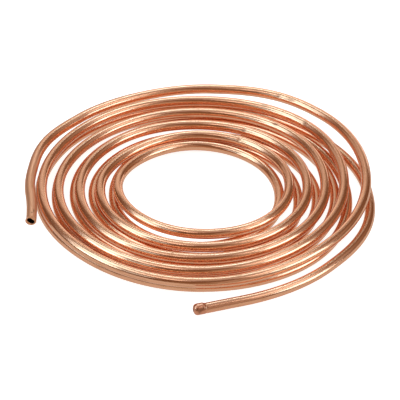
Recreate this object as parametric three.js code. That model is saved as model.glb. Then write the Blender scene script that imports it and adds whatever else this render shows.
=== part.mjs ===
// A loose coil of soft copper tube: one 5 m length, 6 mm outside and 0.8 mm in the wall.
// The tube starts at the left on top of the coil and winds inwards, clockwise seen from above.
// At the inside it drops under itself, and winds outwards again as a second, lower layer.
// Millimetres, +Z up. The origin is on the floor, under the middle of the coil's box.
import * as THREE from "three";

// The tube
const TUBE_OD = 6;
const TUBE_WALL = 0.8;

// The coil. Turns are counted along the tube: a whole number is at the left, at -X.
const CORE_RADIUS = 43.5; // of the tightest turn, to the tube's centreline
const CORE_TURN = 5; // the turn nearest the middle, where the spiral stops closing and opens
const START_TURN = -0.059; // the end on top, at the left
const END_TURN = 10.755; // the end on the floor, at the front
const DROP_START_TURN = 4.92; // from here the tube leaves the upper layer
const DROP_END_TURN = 5.5; // and from here it lies on the floor
const LAYER_GAP = 0.3; // clearance between the two layers

// Both ends spring outwards from the coil, over this much of a turn
const SPRING_TURNS = 0.04;
const TOP_SPRING_OUT = 5.5;
const FLOOR_SPRING_OUT = 3;

// How far the turns lie outside a tightly wound coil, in units of this length. The coil has
// been handled, so no two are alike. One row a turn, at its left, back left, back, back right,
// right, front right, front and front left.
const SLACK_UNIT_LENGTH = 0.5;
const SLACK_BEFORE = 45; // an eighth of a turn before the first row
const SLACK = [
  [52, 57, 62, 67, 54, 48, 53, 49],
  [50, 50, 47, 49, 40, 40, 44, 43],
  [42, 35, 32, 33, 30, 33, 33, 33],
  [29, 23, 17, 18, 21, 25, 23, 21],
  [17, 6, 6, 8, 12, 14, 10, 8],
  [9, 1, 1, 0, 0, 7, 12, 8],
  [2, 3, 3, 4, 9, 21, 21, 14],
  [14, 9, 5, 9, 19, 26, 26, 24],
  [24, 23, 23, 25, 29, 32, 34, 34],
  [33, 33, 28, 28, 31, 40, 38, 35],
  [41, 40, 34, 31, 44, 51, 62, 94],
];

// Shorter bends between them, outwards or inwards: the turn each is at, how far it runs to
// either side in turns, and how far out it lies in the same units
const BENDS = [
  { turn: 0.07, reach: 0.05, out: 3.5 },
  { turn: 0.19, reach: 0.07, out: -2 },
  { turn: 0.32, reach: 0.055, out: 2.5 },
  { turn: 10.56, reach: 0.065, out: 3 },
];

// Facets
const STEPS_PER_TURN = 32;
const OUTER_SIDES = 12; // with a flat underneath, on top and on both sides
const BORE_SIDES = 6;

const COPPER = { color: 0xb87350, metalness: 1, roughness: 0.25 };

const TUBE_BORE = TUBE_OD - 2 * TUBE_WALL;
const LOWER_HEIGHT = TUBE_OD / 2;
const UPPER_HEIGHT = LOWER_HEIGHT + TUBE_OD + LAYER_GAP;
const STATIONS_PER_TURN = SLACK[0].length;

// Centreline radius at each station: a tight spiral in, and out again, and its slack.
const stationSlack = [SLACK_BEFORE, ...SLACK.flat()];
const stationRadii = stationSlack.map((slack, index) => {
  const turn = (index - 1) / STATIONS_PER_TURN;
  return CORE_RADIUS + TUBE_OD * Math.abs(turn - CORE_TURN) + SLACK_UNIT_LENGTH * slack;
});

// A smooth curve through the four values around a place, between the middle two.
function smoothBetween([before, from, to, after], share) {
  const bend = 2 * before - 5 * from + 4 * to - after;
  const twist = 3 * from - 3 * to + after - before;
  return from + 0.5 * share * (to - before + share * (bend + share * twist));
}

// How far out a bend puts the tube at this turn.
function bentOut(turn, bend) {
  const away = Math.min(1, Math.abs(turn - bend.turn) / bend.reach);
  return SLACK_UNIT_LENGTH * bend.out * (1 - away ** 2) ** 2;
}

// How far out an end has sprung at this many turns from it.
function sprungOut(turnsToEnd, out) {
  return out * Math.max(0, 1 - turnsToEnd / SPRING_TURNS) ** 2;
}

function radiusAt(turn) {
  const place = 1 + turn * STATIONS_PER_TURN;
  const index = Math.floor(place);
  const last = stationRadii.length - 1;
  const near = [-1, 0, 1, 2].map((k) => stationRadii[THREE.MathUtils.clamp(index + k, 0, last)]);
  const bends = BENDS.reduce((sum, bend) => sum + bentOut(turn, bend), 0);
  const springs =
    sprungOut(turn - START_TURN, TOP_SPRING_OUT) + sprungOut(END_TURN - turn, FLOOR_SPRING_OUT);
  return smoothBetween(near, place - index) + bends + springs;
}

function heightAt(turn) {
  const dropped = THREE.MathUtils.smoothstep(turn, DROP_START_TURN, DROP_END_TURN);
  return THREE.MathUtils.lerp(UPPER_HEIGHT, LOWER_HEIGHT, dropped);
}

// The tube's centreline, stepped evenly by angle, with its section kept upright.
class CoilPath extends THREE.Curve {
  getPoint(share, target = new THREE.Vector3()) {
    const turn = THREE.MathUtils.lerp(START_TURN, END_TURN, share);
    const angle = 2 * Math.PI * turn;
    const radius = radiusAt(turn);
    return target.set(-radius * Math.cos(angle), radius * Math.sin(angle), heightAt(turn));
  }

  getUtoTmapping(share) {
    return share;
  }

  computeFrenetFrames(steps) {
    const tangents = [];
    const normals = [];
    const binormals = [];
    for (let step = 0; step <= steps; step++) {
      const tangent = this.getTangent(step / steps);
      const normal = new THREE.Vector3(0, 0, 1).projectOnPlane(tangent).normalize();
      tangents.push(tangent);
      normals.push(normal);
      binormals.push(new THREE.Vector3().crossVectors(tangent, normal));
    }
    return { tangents, normals, binormals };
  }
}

// A circle as a regular polygon with the circle's diameter across its flats.
function acrossFlats(diameter, sides) {
  const corner = diameter / 2 / Math.cos(Math.PI / sides);
  return Array.from({ length: sides }, (_, side) => {
    const angle = (2 * Math.PI * (side + 0.5)) / sides;
    return new THREE.Vector2(corner * Math.cos(angle), corner * Math.sin(angle));
  });
}

function makeTube() {
  const section = new THREE.Shape(acrossFlats(TUBE_OD, OUTER_SIDES));
  section.holes.push(new THREE.Path(acrossFlats(TUBE_BORE, BORE_SIDES)));
  const geometry = new THREE.ExtrudeGeometry(section, {
    extrudePath: new CoilPath(),
    steps: Math.round((END_TURN - START_TURN) * STEPS_PER_TURN),
    curveSegments: 1,
  });
  geometry.computeBoundingBox();
  const centre = geometry.boundingBox.getCenter(new THREE.Vector3());
  geometry.translate(-centre.x, -centre.y, -geometry.boundingBox.min.z);
  const tube = new THREE.Mesh(geometry, new THREE.MeshStandardMaterial(COPPER));
  tube.name = "tube";
  return tube;
}

const coil = new THREE.Group();
coil.add(makeTube());
export default coil;
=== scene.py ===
"""A loose coil of soft copper tube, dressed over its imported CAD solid.

The tube's path repeats the one in the CAD source: a tight spiral in and out again, loosened by
the slack of each eighth of a turn. Here it carries a round, finely stepped tube. Its upper end is
as a tube cutter leaves it, its lower end is swollen and rolled in, and a few nicks were made
while the coil was handled. Lengths named _MM are millimetres.

Along the tube, a place is its distance from the upper end. Around the tube, an angle is counted
from the top of the section: 90 degrees faces the middle of the coil, and -90 away from it.
"""

import math

import bpy
import numpy as np
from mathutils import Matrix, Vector


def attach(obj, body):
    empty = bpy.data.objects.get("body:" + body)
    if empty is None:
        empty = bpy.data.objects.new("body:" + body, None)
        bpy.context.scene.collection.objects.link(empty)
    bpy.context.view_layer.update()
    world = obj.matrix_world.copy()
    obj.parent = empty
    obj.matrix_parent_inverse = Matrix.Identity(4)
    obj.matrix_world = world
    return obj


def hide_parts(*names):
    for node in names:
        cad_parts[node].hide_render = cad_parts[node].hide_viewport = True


MM = 0.001

# The tube and its coil, as in the CAD source
TUBE_OD_MM = 6.0
TUBE_WALL_MM = 0.8
CORE_RADIUS_MM = 43.5
CORE_TURN = 5
START_TURN = -0.059
END_TURN = 10.755
DROP_START_TURN = 4.92
DROP_END_TURN = 5.5
LAYER_GAP_MM = 0.3
SPRING_TURNS = 0.04
TOP_SPRING_OUT_MM = 5.5
FLOOR_SPRING_OUT_MM = 3.0
SLACK_UNIT_MM = 0.5
SLACK_BEFORE = 45
SLACK = [
    [52, 57, 62, 67, 54, 48, 53, 49],
    [50, 50, 47, 49, 40, 40, 44, 43],
    [42, 35, 32, 33, 30, 33, 33, 33],
    [29, 23, 17, 18, 21, 25, 23, 21],
    [17, 6, 6, 8, 12, 14, 10, 8],
    [9, 1, 1, 0, 0, 7, 12, 8],
    [2, 3, 3, 4, 9, 21, 21, 14],
    [14, 9, 5, 9, 19, 26, 26, 24],
    [24, 23, 23, 25, 29, 32, 34, 34],
    [33, 33, 28, 28, 31, 40, 38, 35],
    [41, 40, 34, 31, 44, 51, 62, 94],
]
# Shorter bends: at which turn, how far to either side in turns, and how far out in slack units
BENDS = ((0.07, 0.05, 3.5), (0.19, 0.07, -2), (0.32, 0.055, 2.5), (10.56, 0.065, 3))

# The fine mesh
SIDES = 40
OUTER_STEP_MM = 3.0
BORE_STEP_MM = 15.0
FINE_STEP_MM = 0.4  # at the ends and over the nicks
UPPER_FINE_MM = 4  # how far in from the end
LOWER_FINE_MM = 10
NICK_REACH_MM = 3.2
RIM_STEPS = 6
PATH_SAMPLES = 32000

# The upper end: a small flare at one side, and a bore that the cutter pinched
UPPER_RIM_MM = 0.22
UPPER_MOUTH_MM = (1.2, 0.8, 0.5, 0.25)
UPPER_MOUTH_ROUNDING_MM = ((0.08, 0.02), (0.0, 0.1))  # place, and how far it opens
FLARE_MM = 0.5
FLARE_LENGTH_MM = 1.6
FLARE_ANGLE_DEG = -85
PINCH_MM = 1.0
PINCH_LENGTH_MM = 1.2
PINCH_ANGLE_DEG = 42

# The lower end: swollen from a ring mark on, and rolled in at its rim. Places are from the end.
SWELL_MM = 0.28
SWELL_FULL_MM = 5.2
RING_MARK_PLACE_MM = 7.1
RING_MARK_DEPTH_MM = 0.12
RING_MARK_HALF_WIDTH_MM = 0.35
LOWER_RIM_LENGTH_MM = 2.2
LOWER_RIM_DEPTH_MM = 2.3
LOWER_MOUTH_MM = (0.3, 0.8)
LOWER_MOUTH_WIDENS_MM = 0.5  # behind the rolled rim

# Nicks: turn, angle in degrees, half length and half width, and depth; a bump's depth is below 0
NICKS = (
    (0.328, 44, 1.6, 0.9, 0.16),
    (0.342, 40, 2.0, 0.9, 0.20),
    (1.322, 10, 2.2, 0.9, 0.14),
    (1.378, 40, 1.6, 0.8, 0.12),
    (2.354, 22, 1.8, 0.8, 0.14),
    (3.324, 47, 1.8, 1.0, 0.18),
    (4.318, -2, 2.0, 0.7, 0.12),
    (4.330, 40, 1.0, 1.0, 0.34),
)
# and by the upper and the lower end, at these places from it
UPPER_END_NICKS = (
    (4.4, 6, 0.6, 0.5, -0.10),
    (6.6, 28, 1.4, 0.5, 0.08),
)
LOWER_END_NICKS = (
    (3.2, -66, 1.4, 0.6, 0.26),
    (2.6, -92, 0.7, 0.6, -0.10),
    (4.9, -50, 0.7, 0.8, 0.12),
    (6.5, -50, 0.5, 0.7, -0.16),
    (1.4, -58, 0.6, 0.5, -0.08),
)

# The upper end is dulled by handling, and the lower end worked dark: how far in this is full,
# and how far in it ends
UPPER_DULL_MM = (30.0, 90.0)
LOWER_WORKED_MM = (6.4, 7.4)
LOWER_STAIN = 0.4
LOWER_STAIN_MM = (12.0, 32.0)
# The bore's copper is painted near-black, as painted shade inside the tube, from these places in from
# its ends
BORE_SHADE_FROM_UPPER_MM = 0.2
BORE_SHADE_FROM_LOWER_MM = 0.7
BORE_LIP_MM = 0.05

# Copper, as linear colours
COPPER_BRIGHT = (0.98, 0.55, 0.35)
COPPER_WARM = (0.97, 0.51, 0.30)
COPPER_TARNISHED = (0.74, 0.37, 0.19)
# the nicks' colour: worn copper, and partly a painted dark reflection in the dents
COPPER_WORN_AND_PAINTED_DARK = (0.28, 0.13, 0.07)
COPPER_WORKED = (0.78, 0.36, 0.22)
# painted shade: the bore's copper is near-black to stand in for the shade inside the tube
BORE_PAINTED_SHADE = (0.05, 0.022, 0.012)
# and how much of each shows where it is strongest
TARNISH_SHARE = 0.75
SPECK_SHARE = 0.5
DULL_SHARE = 0.3
WORN_AND_PAINTED_DARK_SHARE = 0.7
ROUGH_LOW = 0.17
ROUGH_HIGH = 0.20
MORE_ROUGH = {"tarnished": 0.1, "nicked": 0.1, "dull": 0.28, "worked": 0.05, "inside": 0.5}

# Its surface, as noises: sizes in mm along and across the tube, detail, and a shift along it
STREAKS = (45.0, 0.45, 3.0, 0.0)
FINE_STREAKS = (14.0, 0.16, 2.0, 7.3)
WAVES = (22.0, 3.0, 2.0, 3.1)
TARNISH = (9.0, 1.6, 4.0, 19.4)
SPECKS = (0.9, 0.7, 2.0, 11.7)
STREAK_HEIGHT_MM = 0.003
FINE_STREAK_HEIGHT_MM = 0.0005
WAVE_HEIGHT_MM = 0.10
# and between which values of its noise each one sets in and is full
STREAKS_COLOUR = (0.40, 0.72)
STREAKS_ROUGH = (0.3, 0.7)
TARNISH_COLOUR = (0.52, 0.74)
TARNISH_ROUGH = (0.5, 0.75)
SPECKS_COLOUR = (0.66, 0.78)

# The studio: softboxes as name, azimuth, elevation, distance, width and height in metres,
# radiance and tint
COOL = (0.53, 0.82, 1.0)
PALE = (0.94, 0.95, 0.96)
SOFTBOXES = (
    ("left", -107, 24, 0.8, 0.44, 0.22, 3.6, COOL),
    ("left_middle", -95, 39, 0.8, 0.40, 0.22, 1.6, COOL),
    ("left_high", -84, 57, 0.8, 0.44, 0.28, 2.4, COOL),
    ("left_front", -135, 30, 2.0, 0.6, 0.6, 1.0, COOL),
    ("left_front_high", -138, 61, 2.0, 0.9, 0.5, 1.3, PALE),
    ("right", 113, 23, 0.8, 0.44, 0.30, 3.2, COOL),
    ("right_low", 104, 10, 2.0, 0.8, 0.3, 2.3, PALE),
    ("right_front", 128, 38, 2.0, 0.6, 0.5, 0.8, PALE),
    ("right_front_high", 122, 57, 2.0, 0.6, 0.5, 1.4, PALE),
    ("right_high", 96, 52, 2.0, 0.7, 0.5, 1.1, PALE),
    ("back_right_high", 60, 62, 2.0, 1.0, 0.5, 0.8, PALE),
    ("back_high", 0, 53, 2.0, 0.75, 0.42, 4.0, COOL),
    ("back", -14, 26, 0.36, 0.40, 0.15, 0.35, PALE),
    ("back_low", 17, 8, 0.34, 0.34, 0.09, 0.9, PALE),
)
# and soft glows: azimuth, elevation, the angles from its middle where each is full and where it
# ends, all in degrees, and its colour over the dim studio's
DIM_STUDIO = (0.17, 0.09, 0.05)
GLOWS = (
    (0, 4, 4, 34, (0.14, 0.10, 0.07)),
    (0, 30, 4, 28, (0.20, 0.20, 0.19)),
    (68, 32, 4, 28, (0.10, 0.08, 0.06)),
    (0, 62, 4, 26, (0.16, 0.19, 0.20)),
    (0, 90, 4, 30, (0.34, 0.37, 0.40)),
    (-45, 64, 4, 26, (0.24, 0.22, 0.18)),
    (-90, 40, 4, 26, (0.22, 0.18, 0.20)),
    (90, 40, 4, 26, (0.14, 0.15, 0.17)),
    (150, 25, 4, 26, (0.26, 0.24, 0.22)),
    (180, 10, 4, 30, (0.12, 0.10, 0.07)),
)
FLOOR_SIZE_M = 12.0
FLOOR_WHITE = 0.8
FLOOR_GLOW_TO_CAMERA = 0.85
# the floor's tone in the copper: even and pale, its warmth painted bounce light from the copper
FLOOR_IN_COPPER_WITH_PAINTED_BOUNCE = (0.62, 0.57, 0.53)

# Camera: where it stands and looks from the middle of the spiral, as the photograph was taken
VIEW_AZIMUTH_DEG = 180.0
VIEW_ELEVATION_DEG = 35.3
VIEW_DISTANCE_MM = 1320.0
VIEW_TARGET_MM = (0.1, -16.9, 9.45)
LENS_MM = 204.9
SENSOR_MM = 36.0
CLIP_M = (0.05, 50)

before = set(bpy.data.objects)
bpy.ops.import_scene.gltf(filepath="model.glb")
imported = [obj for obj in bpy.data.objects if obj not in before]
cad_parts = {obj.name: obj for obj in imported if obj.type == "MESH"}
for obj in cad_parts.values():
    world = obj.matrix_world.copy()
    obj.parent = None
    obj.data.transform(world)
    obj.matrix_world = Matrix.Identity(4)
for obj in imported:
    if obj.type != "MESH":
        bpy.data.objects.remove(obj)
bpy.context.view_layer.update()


# ---------------------------------------------------------------- the tube's path

def station_radii():
    """Centreline radius at every eighth of a turn, from one before the first whole turn."""
    slack = np.array([SLACK_BEFORE] + [steps for row in SLACK for steps in row])
    turns = (np.arange(len(slack)) - 1) / len(SLACK[0])
    return CORE_RADIUS_MM + TUBE_OD_MM * np.abs(turns - CORE_TURN) + SLACK_UNIT_MM * slack


def radius_at(turn):
    """A smooth curve through the stations, with the shorter bends and the ends that spring out."""
    stations = station_radii()
    place = 1 + turn * len(SLACK[0])
    index = np.floor(place).astype(int)
    share = place - index
    before, start, to, after = (
        stations[np.clip(index + step, 0, len(stations) - 1)] for step in (-1, 0, 1, 2)
    )
    bend = 2 * before - 5 * start + 4 * to - after
    twist = 3 * start - 3 * to + after - before
    radius = start + 0.5 * share * (to - before + share * (bend + share * twist))
    for bend_turn, reach, out in BENDS:
        away = np.minimum(1, np.abs(turn - bend_turn) / reach)
        radius = radius + SLACK_UNIT_MM * out * (1 - away**2) ** 2
    springs = ((turn - START_TURN, TOP_SPRING_OUT_MM), (END_TURN - turn, FLOOR_SPRING_OUT_MM))
    for turns_to_end, out in springs:
        radius = radius + out * np.maximum(0, 1 - turns_to_end / SPRING_TURNS) ** 2
    return radius


def height_at(turn):
    lower = TUBE_OD_MM / 2
    upper = lower + TUBE_OD_MM + LAYER_GAP_MM
    return upper + (lower - upper) * smooth_step(turn, DROP_START_TURN, DROP_END_TURN)


def smooth_step(value, start, end):
    share = np.clip((value - start) / (end - start), 0, 1)
    return share**2 * (3 - 2 * share)


def centre_at(turn):
    angle = 2 * np.pi * turn
    radius = radius_at(turn)
    return np.stack([-radius * np.cos(angle), radius * np.sin(angle), height_at(turn)], axis=-1)


def frames_at(turn):
    """Points of the centreline, with the directions along it, up and to the coil's middle."""
    step = 1e-4
    centre = centre_at(turn)
    along = centre_at(turn + step) - centre_at(turn - step)
    along /= np.linalg.norm(along, axis=1, keepdims=True)
    up = np.array([0.0, 0.0, 1.0]) - along * along[:, 2:3]
    up /= np.linalg.norm(up, axis=1, keepdims=True)
    return centre, along, up, np.cross(along, up)


def length_table():
    """Turns along the path, and the length of the tube up to each."""
    turns = np.linspace(START_TURN, END_TURN, PATH_SAMPLES)
    steps = np.linalg.norm(np.diff(centre_at(turns), axis=0), axis=1)
    return turns, np.concatenate([[0], np.cumsum(steps)])


# ---------------------------------------------------------------- the tube's surface

def all_nicks(turns, lengths):
    """Every nick as its place, angle in radians, half length, half width and depth."""
    whole = lengths[-1]
    along_coil = [(np.interp(turn, turns, lengths), *rest) for turn, *rest in NICKS]
    by_end = [(whole - place, *rest) for place, *rest in LOWER_END_NICKS]
    everywhere = [*UPPER_END_NICKS, *along_coil, *by_end]
    return [(place, math.radians(angle), *rest) for place, angle, *rest in everywhere]


def nick_share(place, angle, nick):
    """How deep in the nick each point is: 1 at its middle, falling off to 0 around it."""
    nick_place, nick_angle, half_length, half_width, _ = nick
    around = (angle - nick_angle + np.pi) % (2 * np.pi) - np.pi
    across = around * TUBE_OD_MM / 2
    return np.exp(-(((place - nick_place) / half_length) ** 2) - (across / half_width) ** 2)


def swell_at(place_from_end):
    return SWELL_MM * (1 - smooth_step(place_from_end, SWELL_FULL_MM, RING_MARK_PLACE_MM))


def outer_radius(place, angle, whole, nicks):
    """The outside of the tube: round, apart from its ends and its nicks."""
    from_end = whole - place
    flare = FLARE_MM * np.maximum(0, 1 - place / FLARE_LENGTH_MM) ** 2
    flare = flare * (0.5 + 0.5 * np.cos(angle - math.radians(FLARE_ANGLE_DEG))) ** 3
    from_mark = (from_end - RING_MARK_PLACE_MM) / RING_MARK_HALF_WIDTH_MM
    ring_mark = RING_MARK_DEPTH_MM * np.exp(-(from_mark**2))
    radius = TUBE_OD_MM / 2 + flare + swell_at(from_end) - ring_mark
    for nick in nicks:
        radius = radius - nick[4] * nick_share(place, angle, nick)
    return radius


def ring_table(whole, nicks):
    """The tube's rings, once round its wall: each one's place and its depth under the outside."""
    fine = [np.arange(0, UPPER_FINE_MM, FINE_STEP_MM)]
    fine.append(whole - np.arange(0, LOWER_FINE_MM, FINE_STEP_MM))
    fine += [nick[0] + np.arange(-NICK_REACH_MM, NICK_REACH_MM, FINE_STEP_MM) for nick in nicks]
    even = np.arange(0, whole, OUTER_STEP_MM)
    outer = np.unique(np.round(np.concatenate([even, *fine]), 1))
    outer = outer[(outer > UPPER_RIM_MM) & (outer < whole - LOWER_RIM_LENGTH_MM)]
    bore = np.arange(whole - 2 * LOWER_RIM_LENGTH_MM, 2 * PINCH_LENGTH_MM, -BORE_STEP_MM)

    quarter = np.linspace(0, math.pi / 2, RIM_STEPS)
    lower_rim = [
        (whole - LOWER_RIM_LENGTH_MM * (1 - math.sin(a)), LOWER_RIM_DEPTH_MM * (1 - math.cos(a)))
        for a in quarter
    ]
    lower_mouth = [(whole - inside, LOWER_RIM_DEPTH_MM) for inside in LOWER_MOUTH_MM]
    lower_mouth.append((whole - LOWER_RIM_LENGTH_MM - LOWER_MOUTH_WIDENS_MM, TUBE_WALL_MM))
    upper_mouth = [(place, TUBE_WALL_MM) for place in UPPER_MOUTH_MM]
    upper_mouth += [(place, TUBE_WALL_MM - opens) for place, opens in UPPER_MOUTH_ROUNDING_MM]
    upper_rim = [
        (UPPER_RIM_MM * (1 - math.sin(a)), UPPER_RIM_MM * (1 - math.cos(a))) for a in quarter[::-1]
    ]

    rings = [(place, 0.0) for place in outer] + lower_rim + lower_mouth
    rings += [(place, TUBE_WALL_MM) for place in bore] + upper_mouth + upper_rim
    return np.array(rings).T


def make_tube():
    turns, lengths = length_table()
    whole = lengths[-1]
    nicks = all_nicks(turns, lengths)
    places, depths = ring_table(whole, nicks)
    count = len(places)
    centre, _, up, inward = frames_at(np.interp(places, lengths, turns))

    angle = (2 * np.pi * np.arange(SIDES) / SIDES)[None, :]
    place = places[:, None]
    depth = depths[:, None]
    pinch = PINCH_MM * np.maximum(0, 1 - place / PINCH_LENGTH_MM) * (depth / TUBE_WALL_MM)
    pinch = pinch * np.cos(angle - math.radians(PINCH_ANGLE_DEG)) ** 2
    radius = outer_radius(place, angle, whole, nicks) - depth - pinch
    direction = up[:, None] * np.cos(angle)[..., None] + inward[:, None] * np.sin(angle)[..., None]
    points = centre[:, None] + radius[..., None] * direction
    # the swollen end stands on the floor too
    points[..., 2] += swell_at(whole - place)
    points = points.reshape(-1, 3)

    middle = (points.min(axis=0) + points.max(axis=0)) / 2
    shift = np.array([-middle[0], -middle[1], 0.0])
    points = (points + shift) * MM

    ring = np.arange(count)[:, None]
    side = np.arange(SIDES)[None, :]
    next_ring = (ring + 1) % count
    next_side = (side + 1) % SIDES
    corners = ((ring, side), (ring, next_side), (next_ring, next_side), (next_ring, side))
    quads = np.stack([a * SIDES + b for a, b in corners], axis=-1).reshape(-1, 4)
    mesh = bpy.data.meshes.new("copper_tube")
    mesh.from_pydata(points.tolist(), [], quads.tolist())

    # UV: metres along the tube, and share of the way round
    uv = np.empty((count, SIDES, 4, 2))
    for corner, (a, b) in enumerate(((0, 0), (0, 1), (1, 1), (1, 0))):
        uv[:, :, corner, 0] = places[(ring + a) % count] * MM
        uv[:, :, corner, 1] = (side + b) / SIDES
    mesh.uv_layers.new(name="along_and_round").data.foreach_set("uv", uv.ravel())

    # and how far each point is in the bore painted near-black as painted shade, in a nick, dulled by
    # handling and worked dark
    from_end = whole - places
    painted_shade_in_bore = (places > BORE_SHADE_FROM_UPPER_MM) & (from_end > BORE_SHADE_FROM_LOWER_MM)
    inside = np.repeat((depths > TUBE_WALL_MM - BORE_LIP_MM) & painted_shade_in_bore, SIDES)
    nicked = sum(nick_share(place, angle, nick) for nick in nicks) * (depth < TUBE_WALL_MM)
    dull = np.repeat(1 - smooth_step(places, *UPPER_DULL_MM), SIDES)
    worked = 1 - smooth_step(from_end, *LOWER_WORKED_MM)
    worked = np.maximum(worked, LOWER_STAIN * (1 - smooth_step(from_end, *LOWER_STAIN_MM)))
    worked = np.repeat(worked, SIDES)
    marks = (("inside", inside), ("nicked", nicked), ("dull", dull), ("worked", worked))
    for name, values in marks:
        attribute = mesh.attributes.new(name, "FLOAT", "POINT")
        attribute.data.foreach_set("value", np.ravel(values).astype(np.float32))
    mesh.shade_smooth()
    mesh.update()
    tube = bpy.data.objects.new("copper_tube", mesh)
    bpy.context.scene.collection.objects.link(tube)
    return tube, Vector(shift) * MM


# ---------------------------------------------------------------- materials

class Graph:
    """The shader nodes of a material or world, made and linked one by one."""

    def __init__(self, owner):
        owner.use_nodes = True
        self.nodes, self.links = owner.node_tree.nodes, owner.node_tree.links

    def node(self, kind, inputs=None, **settings):
        node = self.nodes.new("ShaderNode" + kind)
        for name, value in settings.items():
            setattr(node, name, value)
        for socket, value in (inputs or {}).items():
            self.feed(node.inputs[socket], value)
        return node

    def feed(self, socket, value):
        if isinstance(value, bpy.types.NodeSocket):
            self.links.new(value, socket)
        else:
            socket.default_value = value

    def math(self, operation, *values):
        return self.node("Math", dict(enumerate(values)), operation=operation).outputs[0]

    def spread(self, value, low, high, to_low, to_high):
        ends = {"From Min": low, "From Max": high, "To Min": to_low, "To Max": to_high}
        return self.node("MapRange", {"Value": value, **ends}).outputs["Result"]

    def mix(self, share, first, second):
        first, second = ((*c, 1) if isinstance(c, tuple) else c for c in (first, second))
        return self.node("Mix", {0: share, 6: first, 7: second}, data_type="RGBA").outputs[2]


def copper():
    """Drawn copper: streaks along the tube, faint tarnish, nicks of worn copper partly painted with a
    dark reflection, and a bore painted near-black as painted shade.
    """
    material = bpy.data.materials.new("drawn_copper")
    graph = Graph(material)
    shader = graph.nodes["Principled BSDF"]
    shader.inputs["Metallic"].default_value = 1.0

    uv = graph.node("UVMap", uv_map="along_and_round").outputs["UV"]
    split = graph.node("SeparateXYZ", {0: uv})
    along = split.outputs["X"]
    angle = graph.math("MULTIPLY", split.outputs["Y"], 2 * math.pi)
    section = (graph.math("COSINE", angle), graph.math("SINE", angle))

    def noise(along_mm, across_mm, detail, shift_along):
        """Noise on the tube pulled straight, with features of these sizes along and across it."""
        place = {"X": graph.math("MULTIPLY_ADD", along, 1 / (along_mm * MM), shift_along)}
        for axis, value in zip("YZ", section):
            place[axis] = graph.math("MULTIPLY", value, TUBE_OD_MM / 2 / across_mm)
        settings = {"Vector": graph.node("CombineXYZ", place).outputs[0], "Detail": detail}
        return graph.node("TexNoise", {**settings, "Scale": 1.0}).outputs["Fac"]

    streaks = noise(*STREAKS)
    fine_streaks = noise(*FINE_STREAKS)
    waves = noise(*WAVES)
    tarnish = noise(*TARNISH)
    specks = noise(*SPECKS)
    inside, nicked, dull, worked = (
        graph.node("Attribute", attribute_name=name).outputs["Fac"]
        for name in ("inside", "nicked", "dull", "worked")
    )

    warmed = graph.spread(streaks, *STREAKS_COLOUR, 0.0, 1.0)
    dimmed = graph.spread(tarnish, *TARNISH_COLOUR, 0.0, TARNISH_SHARE)
    specked = graph.spread(specks, *SPECKS_COLOUR, 0.0, SPECK_SHARE)
    colour = graph.mix(warmed, COPPER_BRIGHT, COPPER_WARM)
    colour = graph.mix(dimmed, colour, COPPER_TARNISHED)
    colour = graph.mix(specked, colour, COPPER_TARNISHED)
    colour = graph.mix(graph.math("MULTIPLY", dull, DULL_SHARE), colour, COPPER_TARNISHED)
    colour = graph.mix(worked, colour, COPPER_WORKED)
    # nicks: worn copper, partly a painted dark reflection of the dents
    colour = graph.mix(graph.math("MULTIPLY", nicked, WORN_AND_PAINTED_DARK_SHARE), colour, COPPER_WORN_AND_PAINTED_DARK)
    # the bore is painted near-black: painted shade
    graph.feed(shader.inputs["Base Color"], graph.mix(inside, colour, BORE_PAINTED_SHADE))

    rough = graph.spread(streaks, *STREAKS_ROUGH, ROUGH_LOW, ROUGH_HIGH)
    tarnished = graph.spread(tarnish, *TARNISH_ROUGH, 0.0, 1.0)
    shares = {"tarnished": tarnished, "nicked": nicked, "dull": dull, "worked": worked}
    shares["inside"] = inside
    for name, more in MORE_ROUGH.items():
        rough = graph.math("MULTIPLY_ADD", shares[name], more, rough)
    graph.feed(shader.inputs["Roughness"], rough)

    height = graph.math("MULTIPLY", streaks, STREAK_HEIGHT_MM * MM)
    for wave, high in ((fine_streaks, FINE_STREAK_HEIGHT_MM), (waves, WAVE_HEIGHT_MM)):
        height = graph.math("MULTIPLY_ADD", wave, high * MM, height)
    bump = graph.node("Bump", {"Height": height, "Strength": 1.0, "Distance": 1.0})
    graph.feed(shader.inputs["Normal"], bump.outputs["Normal"])
    return material


# ---------------------------------------------------------------- the studio

def toward(azimuth, elevation):
    """A direction as a unit vector. Azimuth 0 is behind the coil, at +Y, and 90 at +X."""
    a, e = math.radians(azimuth), math.radians(elevation)
    return Vector((math.sin(a) * math.cos(e), math.cos(a) * math.cos(e), math.sin(e)))


def make_floor():
    """A floor that the camera sees as plain white, and the copper as an even pale tone, warmed by
    painted bounce light from the copper.
    """
    mesh = bpy.data.meshes.new("floor")
    half = FLOOR_SIZE_M / 2
    corners = [(-half, -half, 0), (half, -half, 0), (half, half, 0), (-half, half, 0)]
    mesh.from_pydata(corners, [], [(0, 1, 2, 3)])
    material = bpy.data.materials.new("white_floor")
    graph = Graph(material)
    graph.nodes.clear()
    path = graph.node("LightPath").outputs
    matt = graph.node("BsdfDiffuse", {"Color": (FLOOR_WHITE,) * 3 + (1,)}).outputs[0]
    seen = graph.math("MAXIMUM", path["Is Camera Ray"], path["Is Transmission Ray"])
    glow = graph.math("MULTIPLY", seen, FLOOR_GLOW_TO_CAMERA)
    glowing = graph.node("Emission", {"Strength": glow}).outputs[0]
    lit = graph.node("AddShader", {0: matt, 1: glowing}).outputs[0]
    # the floor as the copper sees it: an even tone, with painted warm bounce light from the copper
    mirrored = graph.node("Emission", {"Color": (*FLOOR_IN_COPPER_WITH_PAINTED_BOUNCE, 1)}).outputs[0]
    surface = graph.node("MixShader", {0: path["Is Glossy Ray"], 1: lit, 2: mirrored}).outputs[0]
    graph.node("OutputMaterial", {"Surface": surface})
    mesh.materials.append(material)
    floor = bpy.data.objects.new("floor", mesh)
    bpy.context.scene.collection.objects.link(floor)


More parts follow.
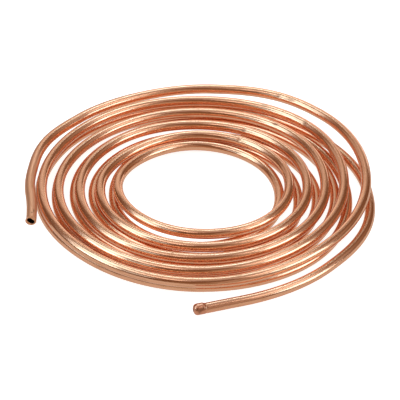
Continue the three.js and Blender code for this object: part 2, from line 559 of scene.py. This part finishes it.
def make_softbox(name, azimuth, elevation, distance, width, height, radiance, tint):
    """An area lamp that faces the coil."""
    lamp = bpy.data.lights.new("softbox_" + name, "AREA")
    lamp.shape = "RECTANGLE"
    lamp.color = tint
    lamp.size, lamp.size_y = width, height
    lamp.energy = radiance * math.pi * width * height
    holder = bpy.data.objects.new("softbox_" + name, lamp)
    direction = toward(azimuth, elevation)
    holder.location = direction * distance
    holder.rotation_euler = direction.to_track_quat("Z", "Y").to_euler()
    bpy.context.scene.collection.objects.link(holder)


def make_world():
    """A dim studio, with soft glows where its pale walls and ceiling catch the light."""
    world = bpy.data.worlds.new("studio")
    bpy.context.scene.world = world
    graph = Graph(world)
    ray = graph.node("TexCoord").outputs["Generated"]
    colour = graph.node("CombineXYZ", dict(enumerate(DIM_STUDIO))).outputs[0]
    for azimuth, elevation, inner, outer, glow in GLOWS:
        middle = toward(azimuth, elevation)
        facing = graph.node("VectorMath", {0: ray, 1: middle}, operation="DOT_PRODUCT").outputs["Value"]
        edge, full = math.cos(math.radians(outer)), math.cos(math.radians(inner))
        ends = {"From Min": edge, "From Max": full, "To Min": 0.0, "To Max": 1.0}
        fade = graph.node("MapRange", {"Value": facing, **ends}, interpolation_type="SMOOTHSTEP")
        fade = graph.node("CombineXYZ", dict.fromkeys(range(3), fade.outputs["Result"])).outputs[0]
        more = graph.node("VectorMath", {0: fade, 1: glow, 2: colour}, operation="MULTIPLY_ADD")
        colour = more.outputs["Vector"]
    # the camera sees plain white beyond the floor
    path = graph.node("LightPath").outputs
    seen = graph.math("MAXIMUM", path["Is Camera Ray"], path["Is Transmission Ray"])
    colour = graph.mix(seen, colour, (1.0, 1.0, 1.0))
    background = graph.nodes["Background"]
    graph.feed(background.inputs["Color"], colour)
    background.inputs["Strength"].default_value = 1.0


def make_camera(shift):
    data = bpy.data.cameras.new("camera")
    data.sensor_width = SENSOR_MM
    data.lens = LENS_MM
    data.clip_start, data.clip_end = CLIP_M
    camera = bpy.data.objects.new("camera", data)
    back = toward(VIEW_AZIMUTH_DEG, VIEW_ELEVATION_DEG)
    camera.location = Vector(VIEW_TARGET_MM) * MM + shift + back * VIEW_DISTANCE_MM * MM
    camera.rotation_euler = back.to_track_quat("Z", "Y").to_euler()
    bpy.context.scene.collection.objects.link(camera)
    bpy.context.scene.camera = camera


tube, shift = make_tube()
tube.data.materials.append(copper())
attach(tube, "root")
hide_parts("tube")
make_floor()
for softbox in SOFTBOXES:
    make_softbox(*softbox)
make_world()
make_camera(shift)
bpy.context.scene.view_settings.view_transform = "Standard"
